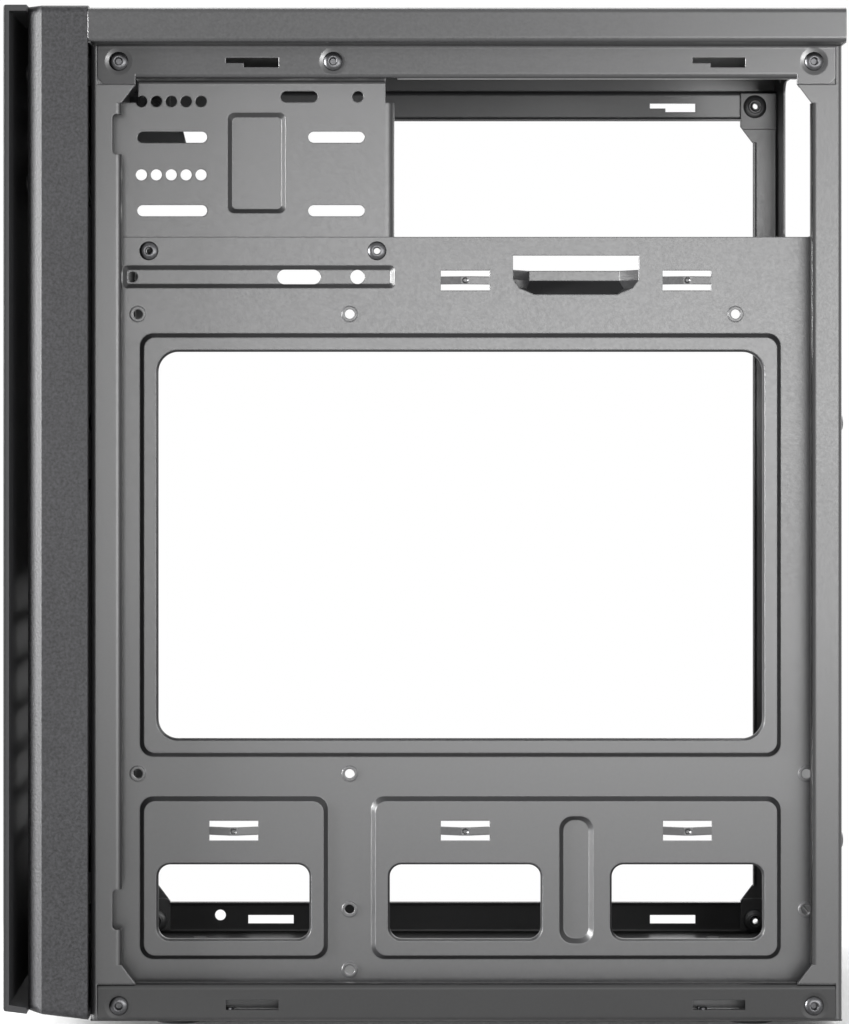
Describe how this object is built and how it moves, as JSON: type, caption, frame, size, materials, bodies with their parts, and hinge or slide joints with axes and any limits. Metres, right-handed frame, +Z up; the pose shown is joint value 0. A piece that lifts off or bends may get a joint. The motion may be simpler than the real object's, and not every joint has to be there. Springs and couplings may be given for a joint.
{
  "type": "computer case",
  "caption": "Small tower computer case without side panels: folded steel frame with pressed board tray, drive bracket, slot covers, feet and a moulded front with buttons and ports.",
  "frame": {"origin": "on the ground, under the centre of the case's overall box", "axes": "-X is the front bezel, +X the rear, -Y the side behind the board tray, +Y the open side, +Z up"},
  "size_m": [0.29, 0.185, 0.3424],
  "materials": {
    "painted_steel": "satin dark grey paint on folded sheet steel",
    "rivet_steel": "plated hollow rivets",
    "foot_rubber": "moulded black rubber",
    "plated_screws": "zinc-plated steel",
    "bezel_plastic": "fine textured moulded plastic",
    "plate_plastic": "fine textured moulded plastic",
    "button_plastic": "moulded plastic",
    "switch_plastic": "moulded plastic",
    "board_laminate": "green glass-fibre laminate",
    "port_shell": "plated sheet shell",
    "jack_plastic": "moulded plastic",
    "light_plastic": "clear moulded plastic"
  },
  "bodies": {
    "case": {"top_panel": "painted_steel", "bottom_panel": "painted_steel", "front_panel": "painted_steel", "rear_panel": "painted_steel", "motherboard_tray": "painted_steel", "drive_bracket": "painted_steel", "slot_cover_1": "painted_steel", "slot_cover_2": "painted_steel", "slot_cover_3": "painted_steel", "slot_cover_4": "painted_steel", "frame_rivets": "rivet_steel", "tray_rivets": "rivet_steel", "bracket_rivets": "rivet_steel", "front_rivets": "rivet_steel", "rear_rivets": "rivet_steel", "foot_front_near": "foot_rubber", "foot_front_far": "foot_rubber", "foot_rear_near": "foot_rubber", "foot_rear_far": "foot_rubber", "slot_screws": "plated_screws", "board_screws": "plated_screws", "front_bezel": "bezel_plastic", "front_plate": "plate_plastic", "power_switch": "switch_plastic", "reset_switch": "switch_plastic", "front_board": "board_laminate", "serial_port_1": "port_shell", "serial_port_2": "port_shell", "microphone_jack": "jack_plastic", "headphone_jack": "jack_plastic", "power_light": "light_plastic", "drive_light": "light_plastic"},
    "power_button": {"power_button": "button_plastic"},
    "reset_button": {"reset_button": "button_plastic"}
  },
  "joints": [
    {"name": "power_press", "type": "slide", "parent": "case", "child": "power_button", "axis": [1, 0, 0], "range_m": [0, 0.0012], "stiffness_N_per_m": 900},
    {"name": "reset_press", "type": "slide", "parent": "case", "child": "reset_button", "axis": [1, 0, 0], "range_m": [0, 0.0012], "stiffness_N_per_m": 900}
  ]
}
